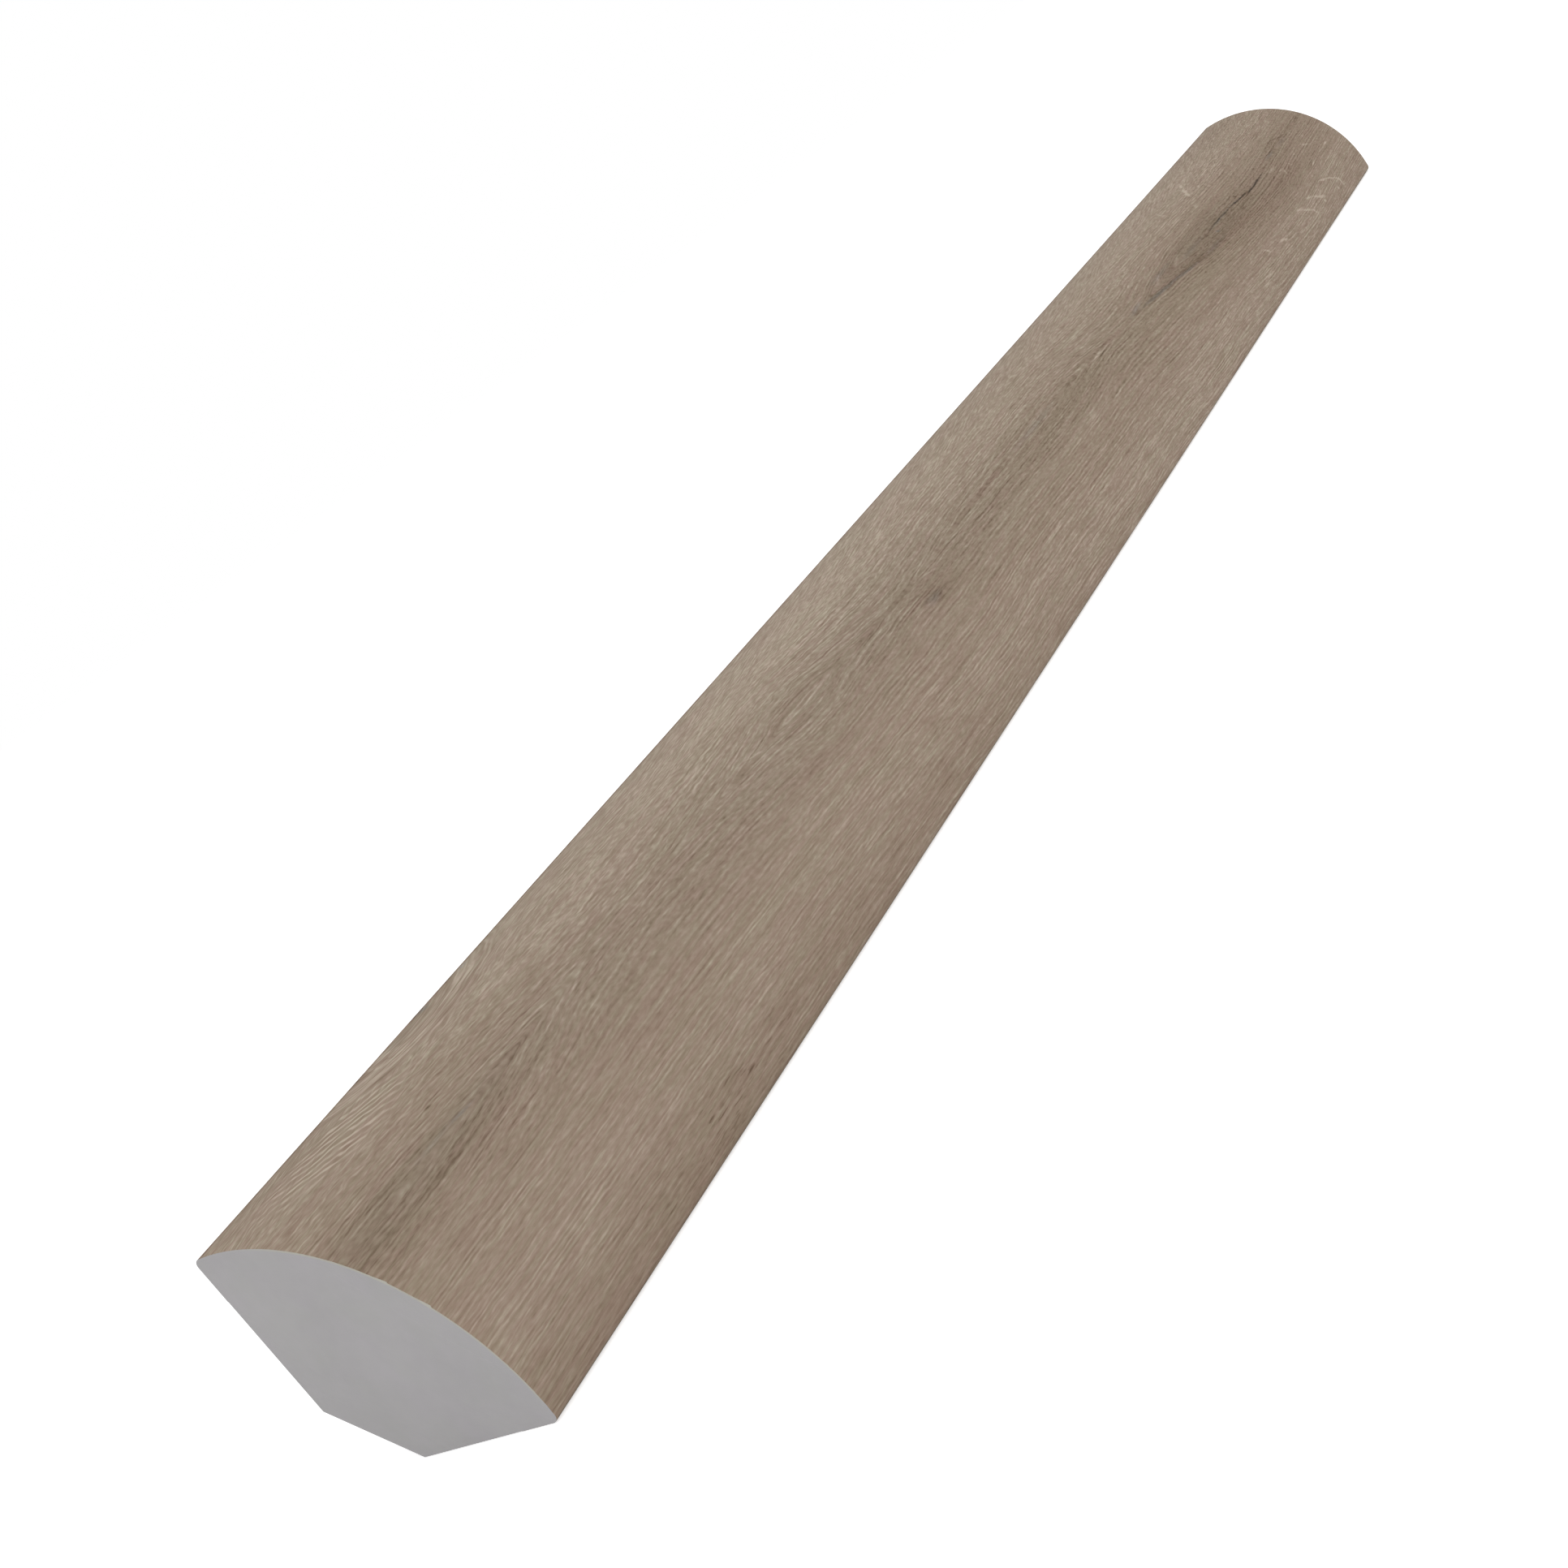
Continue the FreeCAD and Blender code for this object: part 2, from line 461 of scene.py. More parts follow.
# Drawn marks, in the same order as the shades.
MARKS = [
    # dark knot with its fan and roof line
    (96.8, 16.2, 3.4, 1.4, 4, -0.08), (96.2, 15.8, 2.0, 0.24, 12, -0.1),
    (96.4, 16.2, 1.8, 0.2, 0, -0.08), (96.6, 16.65, 1.8, 0.22, -12, -0.09),
    (98.0, 16.35, 1.4, 0.2, -12, -0.11), (100.0, 16.6, 2.2, 0.24, 14, -0.14),
    (98.3, 16.9, 1.4, 0.3, 0, 0.06), (99.9, 13.2, 2.9, 0.17, -12, 0.21),
    (100.0, 14.15, 2.7, 0.17, 14, 0.2), (105, 13.9, 5, 0.2, 0, -0.17),
    (86.5, 13.2, 1.8, 0.34, 8, -0.13), (95.4, 14.75, 4, 0.2, 8, -0.13),
    (115, 13.15, 2.4, 0.15, 0, 0.16),
    # the arcs round the knot at the wall nose
    (19.8, 0.8, 1.6, 0.42, 92, 0.22), (21.2, 2.45, 2.0, 0.34, 22, 0.22),
    (23.7, 3.1, 1.7, 0.3, 8, 0.18), (21.8, 1.0, 1.4, 0.36, 62, 0.22),
    (18.6, 2.4, 1.9, 0.32, 27, 0.2), (17.9, 2.9, 2.2, 0.3, 26, -0.22),
    (21.0, 3.6, 2.6, 0.28, 6, -0.22), (25.6, 3.75, 2.6, 0.26, -2, -0.16),
    (30.4, 2.95, 3.2, 0.26, -15, -0.18), (30.4, 3.4, 1.8, 0.3, -28, -0.2),
    (32.6, 1.9, 3.4, 0.24, -14, 0.12), (31.0, 2.6, 2.6, 0.2, -14, 0.12),
    (20.7, 1.5, 1.3, 0.3, 66, -0.16), (20.6, 4.25, 0.6, 0.3, -20, -0.25),
    (22.9, 1.9, 1.6, 0.4, 30, -0.12),
    # pin knot
    (14.8, 9.3, 0.45, 0.34, 0, -0.30), (16.2, 9.1, 1.6, 0.16, -6, -0.15),
    # dark lines of the near band
    (6, 11.1, 13, 0.3, 1, -0.13), (5, 13.45, 13, 0.26, 1, -0.16),
    (14.5, 12.95, 6, 0.24, -6, -0.14), (19, 12.15, 5, 0.3, 1, -0.1), (9, 12.1, 9, 0.5, 0, 0.05),
    (14.5, 12.2, 2.6, 0.34, 6, 0.19), (6.8, 12.2, 2.4, 0.26, 2, 0.18),
    (22.5, 12.1, 4, 0.16, 0, -0.1), (6.5, 9.5, 1.4, 0.5, 0, -0.1),
    # pale V's at the tip of the near heart
    (22.2, 11.5, 2.6, 0.2, 9, 0.16), (22.4, 12.6, 2.6, 0.2, -9, 0.17),
    (25.5, 11.2, 4.4, 0.2, 9, 0.2), (26.0, 12.7, 4.2, 0.2, -10, 0.22),
    (31.0, 11.2, 3.0, 0.2, 10, 0.18), (29.5, 12.6, 4.4, 0.2, -12, 0.22),
    # long dark lines
    (29, 16.7, 7, 0.14, 0, -0.15), (27, 20.95, 9, 0.11, 0, -0.163),
    (31, 26.5, 2.6, 0.5, 12, -0.112), (48.5, 11.6, 4.5, 0.2, 2, -0.15),
    (58, 10.7, 5, 0.25, 4, -0.125), (60, 12.3, 5, 0.18, 1, -0.15),
    (53.3, 12.9, 0.7, 0.16, 0, -0.2), (53.8, 13.5, 0.6, 0.16, 0, -0.2),
    (54.7, 14.9, 0.6, 0.14, 0, -0.175), (73, 11.5, 6, 0.22, 2, -0.15),
    (77.5, 12.3, 2.6, 0.16, -9, -0.125), (70, 13.5, 6, 0.2, 4, -0.15),
    (85, 13.3, 2.2, 0.55, 4, -0.175), (81, 12.4, 2.0, 0.3, 0, -0.125),
    (90, 14.0, 8, 0.18, 5, -0.125), (93, 13.6, 3.6, 0.4, 4, -0.125),
    (86, 22.3, 16, 0.12, 1, -0.15), (86.5, 2.4, 2.4, 0.22, -2, -0.175),
    (89.7, 1.3, 0.5, 0.3, 0, -0.15), (102.2, 4.0, 2.8, 0.16, 2, -0.175),
    (105, 7.35, 6, 0.14, 1, -0.125), (112, 16.0, 2.6, 0.3, 0, -0.15),
    (103, 18.5, 3, 0.4, 0, -0.1), (127, 22.9, 1.8, 0.11, 2, -0.225),
    (132, 23.5, 1.6, 0.11, 0, -0.225), (127, 20.9, 8, 0.14, 2, -0.15),
    (113, 13.2, 1.6, 0.16, 0, -0.15),
    # the lens between two dark lines
    (136, 12.2, 15, 0.22, 0, -0.16), (152, 12.6, 9, 0.22, 3, -0.16),
    (128, 12.6, 5, 0.22, -5, -0.1), (119, 13.75, 6, 0.22, 3, -0.13),
    (134, 14.2, 12, 0.24, 1, -0.13), (143, 14.3, 4, 0.24, 0, -0.14),
    (136, 13.15, 10, 0.5, 0, 0.1), (151, 13.4, 5, 0.6, 0, -0.11), (161, 13.45, 7, 0.2, 2, -0.2),
    (160.5, 14.1, 4.6, 0.24, 0, -0.26), (155, 18.5, 1.8, 0.16, 0, -0.25),
    # towards the crack
    (186, 15.4, 15, 0.42, 5, -0.17), (176, 14.75, 10, 0.24, 4, -0.13),
    (175.5, 14.0, 3.2, 0.4, -3, 0.07), (206, 17.6, 8, 0.3, 6, -0.12),
    (184, 13.2, 7, 0.25, 0, -0.1), (191, 14.3, 2.2, 0.5, -8, -0.14),
    (198, 13.55, 8, 0.32, 0, -0.12), (190, 12.9, 6, 0.2, -6, -0.08),
    (194.3, 18.4, 0.8, 0.18, 4, -0.2), (196.6, 18.75, 0.7, 0.14, 4, -0.15),
    (199, 17.0, 9, 0.6, 6, -0.15), (213, 18.2, 11, 0.7, 5, -0.075),
    (212, 13.0, 14, 0.8, 0, -0.062),
    # the crack
    (210, 15.25, 6, 0.2, 0, -0.375), (217, 15.5, 9, 0.2, 3, -0.42),
    (224.5, 15.95, 5.4, 0.22, 5, -0.5), (228, 16.35, 5, 0.2, 0, -0.42),
    (232.5, 16.25, 4.2, 0.2, -3, -0.525), (238, 15.85, 3, 0.12, 0, -0.25),
    (205, 15.25, 2.0, 0.3, 4, -0.15), (198, 15.6, 1.6, 0.4, 0, -0.15),
    (222.8, 15.05, 0.9, 0.26, 0, -0.425), (220, 17.1, 2.2, 0.22, 2, -0.213),
    (213.7, 26.4, 1.2, 0.16, 0, -0.2), (245, 15.2, 5, 0.4, 0, -0.125),
    (232, 18.9, 6, 0.5, 0, 0.1), (246, 15.0, 5, 0.14, 0, -0.2), (250, 14.2, 2.4, 0.4, 6, -0.15),
    (252.6, 14.7, 2.2, 0.3, 10, -0.325), (254.6, 15.4, 1.9, 0.14, 2, -0.325),
    (260, 14.7, 7, 0.16, -3, -0.2), (263, 15.0, 2.5, 0.14, -6, -0.15),
    (248, 9.8, 3, 0.4, 0, -0.1), (252, 11.3, 3, 0.4, 0, -0.1),
    # pale lines
    (74, 12.7, 3.6, 0.22, 0, 0.15), (88, 8.0, 9, 0.2, 0, 0.17), (90, 8.55, 7, 0.18, 0, 0.12),
    (88, 8.3, 8, 0.16, 0, -0.1), (68, 11.8, 5, 0.5, 3, -0.08), (89, 9.15, 8, 0.24, 0, -0.09),
    (88.5, 9.7, 4.6, 0.22, -1, 0.2), (59, 11.4, 5, 0.13, 2, 0.163),
    (63, 11.9, 2, 0.13, 18, 0.175), (59, 17.5, 4, 0.12, 0, 0.125),
    (83, 21.4, 2.2, 0.3, 10, 0.163), (111, 13.85, 10, 0.14, 2, 0.188),
    (125, 14.5, 6, 0.11, 1, 0.15), (154, 13.0, 2.8, 0.18, 8, 0.225),
    (160, 13.75, 5.6, 0.2, 2, 0.28), (164.5, 14.3, 1.8, 0.13, 10, 0.175),
    (154.6, 19.2, 1.2, 0.12, 0, 0.175), (160, 20.8, 2, 0.12, 3, 0.15),
    (146, 24.2, 6, 0.1, 2, 0.15), (163, 24.4, 5, 0.1, 2, 0.15), (173, 14.75, 6, 0.12, 3, 0.175),
    (186.2, 13.8, 2.6, 0.28, -14, 0.24), (186.4, 14.45, 2.4, 0.2, 10, 0.16),
    (194.2, 14.2, 2.4, 0.3, -12, 0.24), (194.4, 14.85, 2.2, 0.2, 10, 0.16),
    (58, 8.3, 4, 0.2, 0, 0.1), (41, 8.1, 5, 0.16, -4, 0.125), (51, 8.4, 2.4, 0.16, 3, 0.15),
    (61, 8.3, 3, 0.16, 2, 0.15),
]
# Ray flecks, each a bright sliver, in the same order.
FLECKS = [
    (221.5, 8.75, 1.4, 0.4, -33, 0.544), (223.5, 7.7, 1.9, 0.4, -24, 0.576),
    (226.2, 6.6, 1.8, 0.3, -24, 0.48), (212.3, 7.6, 1.8, 0.28, -50, 0.16),
    (213.4, 6.5, 1.4, 0.28, -30, 0.16), (216.7, 10.9, 1.6, 0.28, -20, 0.16),
    (211.8, 23.4, 0.9, 0.36, 40, 0.416), (218.2, 24.2, 2.2, 0.28, 16, 0.384),
    (219.6, 24.8, 1.1, 0.32, 8, 0.32), (230.6, 23.6, 1.6, 0.26, 12, 0.38),
    (233.3, 24.7, 2.4, 0.26, 22, 0.42), (235.2, 25.7, 0.8, 0.32, 50, 0.42),
    (238, 17.0, 2.2, 0.32, 0, 0.416), (239.6, 18.1, 1.1, 0.26, 0, 0.4),
    (239.9, 18.8, 0.9, 0.3, -42, 0.46), (243.5, 18.5, 0.7, 0.26, 50, 0.224),
    (254, 18.7, 1.4, 0.28, 20, 0.44), (257, 17.5, 0.8, 0.28, 18, 0.256),
    (249.2, 21.3, 1.8, 0.26, -5, 0.384), (259.2, 21.05, 1.1, 0.26, 8, 0.32),
    (237.0, 23.8, 1.8, 0.26, 14, 0.36), (239.6, 24.7, 2.0, 0.26, 20, 0.40),
    (241.4, 25.3, 1.6, 0.42, 18, 0.38), (241.2, 26.1, 0.7, 0.3, 20, 0.42),
    (246.3, 24.0, 1.6, 0.28, 12, 0.42), (249.2, 24.8, 2.4, 0.22, 18, 0.36),
    (251.4, 25.7, 1.2, 0.32, 35, 0.42), (251.9, 26.6, 0.9, 0.36, 80, 0.5),
    (249.2, 26.8, 0.7, 0.34, 10, 0.5), (261, 24.4, 1.1, 0.24, 0, 0.224),
    (207, 25.6, 3, 0.32, 4, 0.192), (203, 26.0, 2.4, 0.28, 8, 0.16),
]
# Where the print turns blue-grey: the last number is how much.
BLUE_STREAKS = [
    (15, 11.8, 1.6, 0.24, 4, 0.6), (12, 11.6, 3, 0.3, 0, 0.25), (10, 12.3, 30, 2.6, 0, 0.06),
    (137, 13.1, 9, 0.6, 0, 0.3), (175.5, 14.0, 3.6, 0.5, -3, 0.6), (183, 15.2, 8, 0.4, 5, 0.9),
    (192, 16.2, 6, 0.45, 8, 0.8), (188, 13.5, 6, 0.5, 0, 0.35),
    (208.7, 16.25, 0.9, 0.28, 10, 1.0), (213, 15.35, 7, 0.26, 1, 0.7),
    (221, 15.6, 4, 0.22, 3, 0.6), (200, 14.9, 7, 0.5, 0, 0.3), (203, 17.2, 6, 0.5, 2, 0.4),
    (243.5, 15.35, 3, 0.45, 0, 0.6), (27.3, 0.0, 1.0, 0.8, 0, 0.9), (23, 0.6, 3, 1.2, 0, 0.1),
    (33, 0.0, 0.9, 0.6, 0, 0.6), (251, 15.5, 3, 0.5, 0, 0.3), (231, 16.3, 6, 0.3, 0, 0.4),
    (96.2, 16.2, 2.2, 0.7, 0, 0.5), (80, 13.5, 130, 7, 0, 0.085),
]
# Where the print turns olive, likewise.
OLIVE_BANDS = [
    (12, 12.4, 32, 3.0, 0, 0.26), (188, 17.8, 36, 3.6, 4, 0.5), (150, 14.5, 34, 3.4, 0, 0.3),
]
# The wood's colours, from its darkest tone to its palest.
WOOD_TONES = [
    (0.0, (0.060, 0.046, 0.034)), (0.25, (0.162, 0.1135, 0.080)), (0.5, (0.257, 0.196, 0.147)),
    (0.625, (0.292, 0.228, 0.1745)), (0.75, (0.335, 0.2705, 0.213)), (1.0, (0.47, 0.40, 0.325)),
]


class OakPrint(Finish):
    """Greige oak, printed. Tones go from 0, darkest, to 1, palest.

    Places on it are in millimetres: along it from the near cut, and across it, round the
    face, from the wall nose.
    """

    def __init__(self):
        super().__init__("oak_print")
        face = self.add("UVMap", uv_map="face").outputs[0]
        place = self.add("VectorMath", face, operation="SCALE")
        place.inputs["Scale"].default_value = 1 / MM
        self.place = place.outputs[0]
        split = self.add("SeparateXYZ", self.place)
        self.along, self.across = split.outputs[0], split.outputs[1]
        self.waver()
        self.lay_rings()
        self.lay_strands()
        self.lay_swirl()

    def waver(self):
        """The hand's waver in every line, and in the marks and flecks drawn over them."""
        self.slow = self.noise(self.place, (0.022, 0.08, 0), 3.1, detail=1)
        self.middle = self.noise(self.place, (0.22, 0.7, 0), 7.7, detail=1)
        self.quick = self.noise(self.place, (0.9, 2.2, 0), 1.9)
        curly = self.times(self.quick, self.fade(self.across, 12.0, 8.0, 0.07, 0.2))
        self.wavy = self.total(self.across, (self.slow, 1.1), (self.middle, 0.28), curly)
        drawn_along = self.total(self.along, (self.quick, 0.8))
        drawn_across = self.total(self.across, (self.middle, 0.4), (self.quick, 0.05))
        self.drawn = self.point(drawn_along, drawn_across)
        self.swept = self.point(self.along, self.total(self.across, (self.middle, 0.5)))

    def lay_rings(self):
        """Growth rings: nested V's about one line, straight lines on both sides of it."""
        ring_line = self.curve(self.along, RING_LINE, CURVE_LENGTH, 20)
        off_line = self.calc("SUBTRACT", self.wavy, ring_line)
        self.off_line = self.calc("SQRT", self.calc("MULTIPLY_ADD", off_line, off_line, 0.03))
        depth = self.curve(self.along, RING_DEPTH, CURVE_LENGTH, 4)
        tips = self.times(depth, self.fade(self.off_line, 9.0, 0.0))
        self.ring = self.calc("ADD", self.off_line, tips)
        self.ringed = self.point(self.along, self.ring, self.across)

    def lay_strands(self):
        """Slanting strands by the wall nose."""
        slant = self.total(self.wavy, (self.along, self.fade(self.along, 35, 60, 0.24, 0.15)))
        self.slanted = self.point(self.along, slant)

    def lay_swirl(self):
        """The swirl round a knot that the print cuts off at the nose."""
        past_knot = self.calc("SUBTRACT", self.along, 24.0)
        past_knot = self.total(
            (self.calc("MAXIMUM", past_knot, 0.0), 0.35),
            (self.calc("MINIMUM", past_knot, 0.0), 0.45),
        )
        below_knot = self.calc("ADD", self.across, 0.8)
        squares = self.total(
            self.times(past_knot, past_knot), self.times(below_knot, below_knot)
        )
        swirl = self.calc("SQRT", squares)
        self.swirl = self.total(swirl, (self.middle, 0.5), (self.quick, 0.15))
        self.swirled = self.point(self.along, self.swirl, 5.0)

    def straight_grain(self):
        """Long lines and short dashes, with longer lines on the middle of the face."""
        ring, ringed = self.ring, self.ringed
        off_middle = self.calc("ABSOLUTE", self.calc("SUBTRACT", self.across, 18.0))
        dash_share = self.fade(off_middle, 3.0, 6.5, 0.39, 0.55)
        bands = self.noise(ringed, (0.025, 1.4, 0.05), 12.0)
        lines = self.noise(ringed, (0.04, 5.2, 0.08), 11.0, detail=1)
        dashes = self.noise(ringed, (0.26, 6.0, 0.40), 13.0, detail=1)
        line_share = self.total(0.70, (dash_share, -0.96))
        straight = self.total((bands, 0.04), (lines, line_share), (dashes, dash_share))
        # even hairlines all over, and wider lines that draw the V's
        drift = self.noise(ringed, (0.03, 0.9, 0.1), 15.0)
        hairline = self.calc("SINE", self.total((ring, 17.5), (drift, 14.0)))
        strength = self.total(0.05, (self.noise(ringed, (0.09, 1.6, 0.2), 17.0), 0.18))
        hairline = self.times(hairline, strength)
        ring_line = self.calc("SINE", self.total((ring, 8.6), (drift, 7.0)))
        ring_line = self.times(ring_line, self.fade(self.off_line, 3.6, 0.8, 0.0, 0.04))
        return self.total(straight, hairline, ring_line)

    def fibres(self):
        """The straight grain, with the strands, the swirl and its curls in their places."""
        off_nose = self.total(self.across, (self.middle, 4.0), (self.slow, 6.0))
        slant_share = self.fade(off_nose, self.fade(self.along, 20, 60, 6.0, 8.0), 3.2)
        self.swirl_share = self.fade(self.swirl, 5.5, 4.5)
        straight = self.straight_grain()
        slanting = self.total(
            (self.noise(self.slanted, (0.12, 2.4, 0), 21.0, detail=1, rough=0.6), 0.14),
            (self.noise(self.slanted, (0.32, 5.2, 0), 23.0, detail=1), 0.68),
        )
        swirling = self.total(
            (self.noise(self.swirled, (0.12, 3.2, 0), 31.0, detail=1), 0.72),
            (self.noise(self.swirled, (0.4, 5.0, 0), 33.0), 0.58),
        )
        fibre = self.blend(slant_share, straight, slanting)
        fibre = self.blend(self.swirl_share, fibre, swirling)
        # short curly dashes under the swirl
        curl_share = self.fade(self.spot(self.place, 24, 6.8, 34, 3.6), 0.0, 0.5)
        curled = self.point(self.along, self.total(self.wavy, (self.quick, 0.35)), 3.0)
        curls = self.noise(curled, (0.42, 4.6, 0), 45.0, detail=1)
        return self.blend(curl_share, fibre, self.total((fibre, 0.55), (curls, 0.46)))

    def wiggles(self):
        """Short pale wiggles between the strands and the straight grain."""
        curly = self.point(self.along, self.total(self.wavy, (self.middle, 1.5)))
        wiggle = self.noise(curly, (0.42, 2.3, 0), 41.0, detail=1)
        zone = self.times(self.fade(self.across, 3.5, 6.5), self.fade(self.across, 11.5, 8.5))
        return self.times(self.fade(wiggle, 0.04, 0.16), zone)

    def pores(self):
        """Thin dark pores, with more of them in one field near the floor nose."""
        pore = self.noise(self.ringed, (0.75, 7.0, 0.5), 51.0)
        field = self.spot(self.place, 27, 27, 16, 3.5)
        return self.times(self.fade(pore, 0.11, 0.24), self.total(0.05, (field, 0.17)))

    def ripples(self):
        """Beaded ripples near the saw cut, and how much of the place is theirs."""
        line = self.total(self.wavy, (self.along, -0.42), (self.middle, 0.9), (self.quick, 0.15))
        ripple = self.fade(self.calc("SINE", self.times(line, 9.0)), -0.3, 1.0, -0.4, 1.0)
        bead = self.noise(self.place, (0.8, 1.6, 0), 81.0)
        share = self.fade(self.spot(self.place, 10.5, 4.1, 9.5, 3.0, 4), 0.0, 0.5)
        beaded = self.times(self.times(ripple, share), self.total(0.85, (bead, 2.2)))
        return beaded, share

    def heart(self):
        """The dark heart of the V's, and its darker rim."""
        past_heart = self.calc("SUBTRACT", self.ring, self.fade(self.along, 60, 150, 1.4, 2.2))
        strength = self.curve(self.along, HEART, CURVE_LENGTH)
        heart = self.times(self.fade(past_heart, 0.3, -0.3), strength)
        rim = self.times(self.fade(self.calc("ABSOLUTE", past_heart), 0.25, 0.0), strength)
        return heart, rim

    def ground(self):
        """The print's tone under its grain, partly painted light towards the floor nose, and
        painted shade past the wall nose.
        """
        tone = self.curve(self.across, TONE_ROUND, CURVE_ROUND)
        # painted shade for the nose's shading: darkest from just past the face's edge to a
        # millimetre round the nose, then lighter
        past_nose = self.fade(self.across, 0.05, -0.3)
        painted_nose_shade = self.times(past_nose, self.fade(self.across, -1.0, -1.8, -0.28, -0.08))
        return self.total(tone, painted_nose_shade)

    def grain(self, fibre, fine):
        """The fibres and the fine grain together, stronger towards the far end."""
        along, across = self.along, self.across
        fine_share = self.times(
            self.fade(across, 15.5, 17.5, 0.52, 0.38), self.fade(along, 190, 225, 1.0, 1.25)
        )
        fine_drawn = self.times(fine, fine_share)
        upper = self.fade(
            across, 9.0, 13.0,
            self.fade(along, 185, 205, 1.0, 1.14), self.fade(along, 150, 175, 1.0, 0.87),
        )
        strength = self.times(
            self.fade(along, 30, 150, 1.0, 1.2),
            self.fade(across, 14.0, 18.0, upper, self.fade(along, 80, 150, 0.95, 1.05)),
        )
        return self.times(self.total(fibre, fine_drawn), strength)

    def colours(self, tone, heart):
        """The wood's colours: its tones, with olive, pinkish and blue-grey streaks."""
        wood = self.ramp(tone, WOOD_TONES)
        # olive and pinkish streaks lie side by side
        hue = self.total(
            (self.noise(self.ringed, (0.12, 2.6, 0.3), 91.0, detail=1), 1.1),
            (self.noise(self.place, (0.05, 0.5, 0), 93.0), 0.35),
            (self.noise(self.ringed, (0.7, 4.5, 0.5), 95.0), 0.8),
        )
        zone = self.spot(self.place, 110, 13, 85, 10)
        bands = self.spots(self.place, OLIVE_BANDS, soft=True)
        wall_side = self.fade(self.across, 21.0, 14.0, 0.38, 0.48)
        olive = self.total(wall_side, (hue, 1.8), (zone, 0.22), (heart, 0.3), bands)
        tint = self.ramp(olive, [(0.0, (1.015, 0.965, 0.967)), (1.0, (0.985, 1.005, 0.957))])
        wood = self.mix(1.0, wood, tint, "MULTIPLY")
        blue = self.total(self.spots(self.drawn, BLUE_STREAKS), (heart, 0.06))
        cast = self.mix(self.calc("MINIMUM", blue, 1.0), (1, 1, 1, 1), (0.80, 0.95, 1.13, 1))
        return self.mix(1.0, wood, cast, "MULTIPLY")


def wood_print():
    """The print that covers the round face and both noses."""
    f = OakPrint()
    fibre = f.fibres()
    wiggles = f.wiggles()
    pores = f.pores()
    fine = f.noise(f.ringed, (1.3, 5.4, 0.9), 61.0, detail=1)
    cloud = f.noise(f.place, (0.05, 0.38, 0), 71.0, detail=2)
    # the grain gives way to the ripples, the swirl and the dark heart
    ripples, ripple_share = f.ripples()
    fibre = f.times(fibre, f.calc("MULTIPLY_ADD", ripple_share, -0.5, 1.0))
    most = f.calc("MAXIMUM", ripple_share, f.swirl_share)
    fine = f.times(fine, f.calc("MULTIPLY_ADD", most, -0.7, 1.0))
    heart, rim = f.heart()
    fibre = f.times(fibre, f.calc("MULTIPLY_ADD", heart, -0.4, 1.0))
    tone = f.total(
        f.ground(), f.grain(fibre, fine), (wiggles, 0.03), (pores, -1.0), (cloud, 0.05),
        (ripples, 0.28), (heart, -0.065), (rim, -0.06),
    )
    # spots are added up in chains of their own, which keeps the material within Cycles' limits
    shades = f.spots(f.place, SHADES, soft=True)
    marks = f.spots(f.drawn, MARKS)
    flecks = f.spots(f.swept, FLECKS)
    wood = f.colours(f.total(tone, shades, marks, flecks), heart)
    roughness = f.total(0.62, (fine, 0.25))
    height = f.total((fibre, 1.0), (pores, -0.5), (fine, 0.4))
    return f.finish(wood, roughness, 0.03, height)


def film_edge():
    """The film's own pale plastic, seen only where it is cut. Its places are in metres."""
    f = Finish("film_edge")
    place = f.add("TexCoord").outputs["Object"]
    round_face_m = f.add("SeparateXYZ", f.add("UVMap", uv_map="face").outputs[0]).outputs[1]
    speck = f.noise(place, (2600, 2600, 2600), 2.0, detail=1)
    pale = f.times(f.fade(round_face_m, 0.002, 0.009), f.fade(round_face_m, 0.0282, 0.0268))
    backing = f.ramp(
        f.total(0.5, (speck, 1.2)), [(0.0, (0.385, 0.378, 0.335)), (1.0, (0.43, 0.415, 0.365))]
    )
    colour = f.mix(pale, (0.375, 0.365, 0.37, 1), backing)
    return f.finish(colour, f.total(0.6, (speck, 0.1)), 0.2)


def core_plastic():
    """Even grey plastic: mottled a little, with saw arcs on the cuts and draw lines along it.

    Its places are in metres.
    """
    f = Finish("core_plastic")
    place = f.add("TexCoord").outputs["Object"]
    mottle = f.noise(place, (900, 900, 900), 4.0, detail=2)
    broad = f.noise(place, (160, 160, 160), 6.0, detail=1)
    hue = f.noise(place, (420, 420, 420), 8.0, detail=1)
    draw_lines = f.noise(place, (5200, 12, 5200), 10.0, detail=1)
    # the blade's arcs: circles about an axle beside the cut
    axle_m = (0.09, 0.0, 0.07)
    about_axle = f.add(
        "Mapping", place, axle_m, (0, 0, 0), (1, 1000, 1), vector_type="TEXTURE"
    ).outputs[0]
    sweep = f.add("VectorMath", about_axle, operation="LENGTH").outputs["Value"]
    saw_arcs = f.noise(f.point(sweep, 0.0), (4200, 1, 1), 12.0, detail=2)
    normal = f.add("SeparateXYZ", f.add("NewGeometry").outputs["Normal"])
    on_cut = f.fade(f.calc("ABSOLUTE", normal.outputs[1]), 0.5, 0.9)
    off_cut = f.calc("SUBTRACT", 1.0, on_cut)
    relief = f.total(
        (f.times(saw_arcs, on_cut), 1.0), (f.times(draw_lines, off_cut), 1.0), (mottle, 0.5)
    )
    tone = f.total(0.5, (mottle, 0.55), (broad, 0.9), (relief, 0.25))
    grey = f.ramp(tone, [(0.0, (0.355, 0.344, 0.352)), (1.0, (0.402, 0.390, 0.398))])
    hue = f.total(0.5, (hue, 2.0))
    tint = f.ramp(hue, [(0.0, (1.0, 0.993, 1.0)), (1.0, (0.99, 1.0, 0.975))])
    grey = f.mix(1.0, grey, tint, "MULTIPLY")
    return f.finish(grey, f.total(0.62, (relief, 0.2)), 0.2, relief)


film = make_film([wood_print(), film_edge()])
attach(film, "root")
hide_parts("wrap_film")

core = make_core([core_plastic()])
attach(core, "root")
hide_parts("core")


# The studio

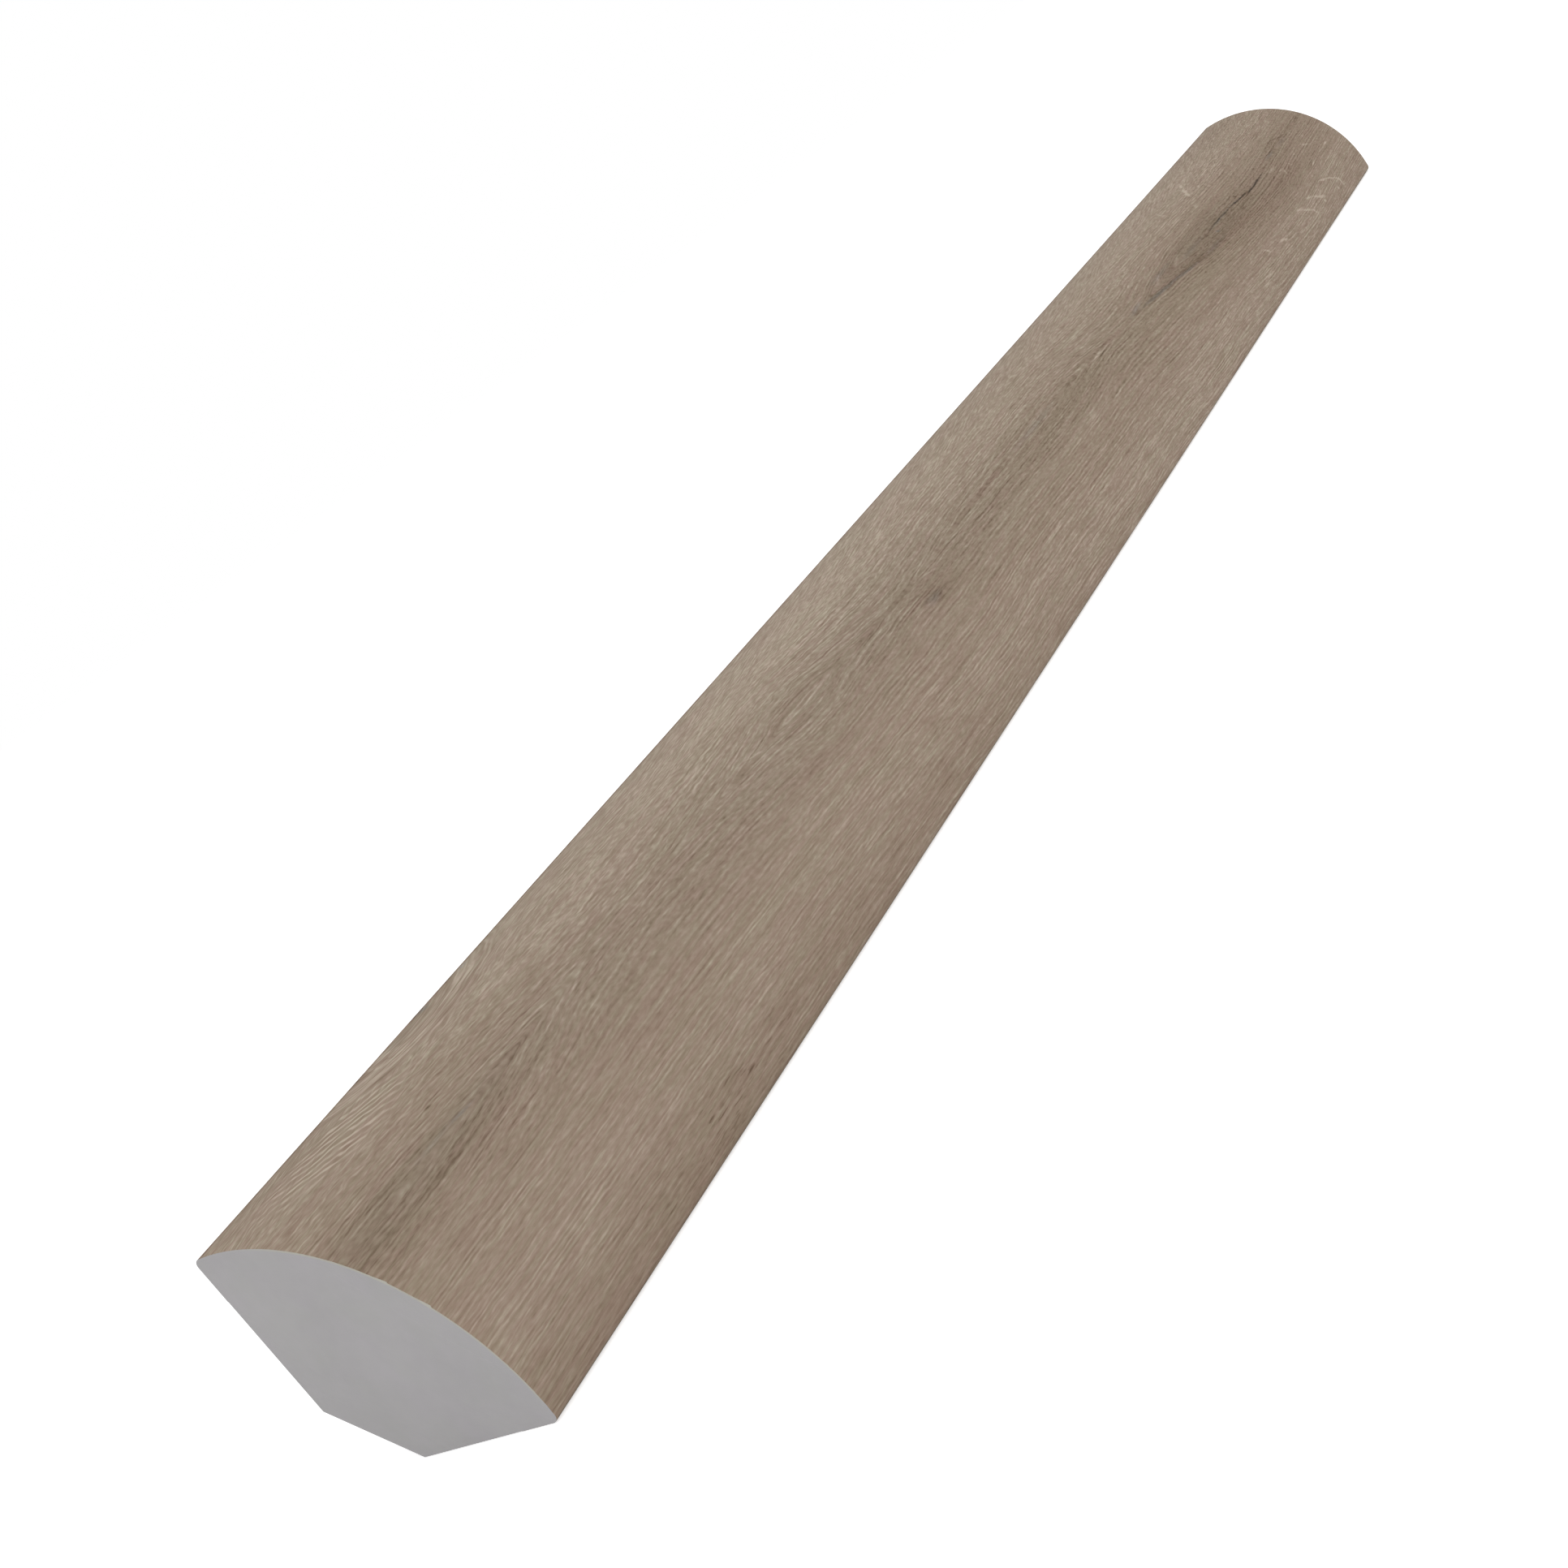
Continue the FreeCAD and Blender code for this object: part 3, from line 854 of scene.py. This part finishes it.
FLOOR_GLOW = 0.55
ROOM_LIGHT = 0.80


def make_floor():
    """A white floor that takes the soft shadow and otherwise runs into the background."""
    shape = bmesh.new()
    bmesh.ops.create_grid(shape, x_segments=1, y_segments=1, size=20.0)
    mesh = bpy.data.meshes.new("floor")
    shape.to_mesh(mesh)
    shape.free()
    floor = bpy.data.objects.new("floor", mesh)
    floor.location.z = -0.04 * MM
    bpy.context.scene.collection.objects.link(floor)
    f = Finish("white_floor")
    f.feed(f.shader.inputs["Base Color"], (0.8, 0.8, 0.8, 1))
    f.feed(f.shader.inputs["Roughness"], 1.0)
    f.feed(f.shader.inputs["Specular IOR Level"], 0.0)
    f.feed(f.shader.inputs["Emission Color"], (1, 1, 1, 1))
    f.feed(f.shader.inputs["Emission Strength"], f.times(f.seen(), FLOOR_GLOW))
    mesh.materials.append(f.material)


def light_room():
    """An even room, white to the camera and in reflections."""
    world = bpy.data.worlds.new("room")
    bpy.context.scene.world = world
    world.use_nodes = True
    nodes = Nodes(world.node_tree)
    background = nodes.tree.nodes["Background"]
    level = nodes.add("MapRange", nodes.seen())
    nodes.feed(level.inputs["To Min"], ROOM_LIGHT)
    nodes.feed(level.inputs["To Max"], 1.0)
    nodes.feed(background.inputs["Color"], (1, 1, 1, 1))
    nodes.feed(background.inputs["Strength"], level.outputs[0])


def soft_lamp(name, place_m, size_m, watts):
    """A square soft box that points at the moulding."""
    lamp = bpy.data.lights.new(name, "AREA")
    lamp.shape = "SQUARE"
    lamp.size = size_m
    lamp.energy = watts
    holder = bpy.data.objects.new(name, lamp)
    holder.location = place_m
    holder.rotation_euler = (-Vector(place_m)).to_track_quat("-Z", "Y").to_euler()
    bpy.context.scene.collection.objects.link(holder)


def place_camera():
    """The photograph's view: close to the near end, the length running corner to corner."""
    data = bpy.data.cameras.new("camera")
    data.sensor_width = 36.0
    data.lens = 49.54358
    data.clip_start = 0.005
    camera = bpy.data.objects.new("camera", data)
    place_m = (0.11346486, -0.20973835, 0.05263885)
    right = Vector((0.71511197, 0.39501363, -0.57669672))
    up = Vector((0.35315652, 0.50781453, 0.78575116))
    back = Vector((0.60323739, -0.76556426, 0.22364261))
    turn = Matrix((right, up, back)).transposed().to_4x4()
    camera.matrix_world = Matrix.Translation(place_m) @ turn
    bpy.context.scene.collection.objects.link(camera)
    bpy.context.scene.camera = camera


make_floor()
light_room()
soft_lamp("soft_box_above", (-0.35, -0.25, 1.1), 0.9, 0.5)
soft_lamp("soft_box_front", (1.8, -1.8, 1.05), 1.5, 21.0)
place_camera()
bpy.context.scene.view_settings.view_transform = "Standard"

bpy.context.view_layer.update()
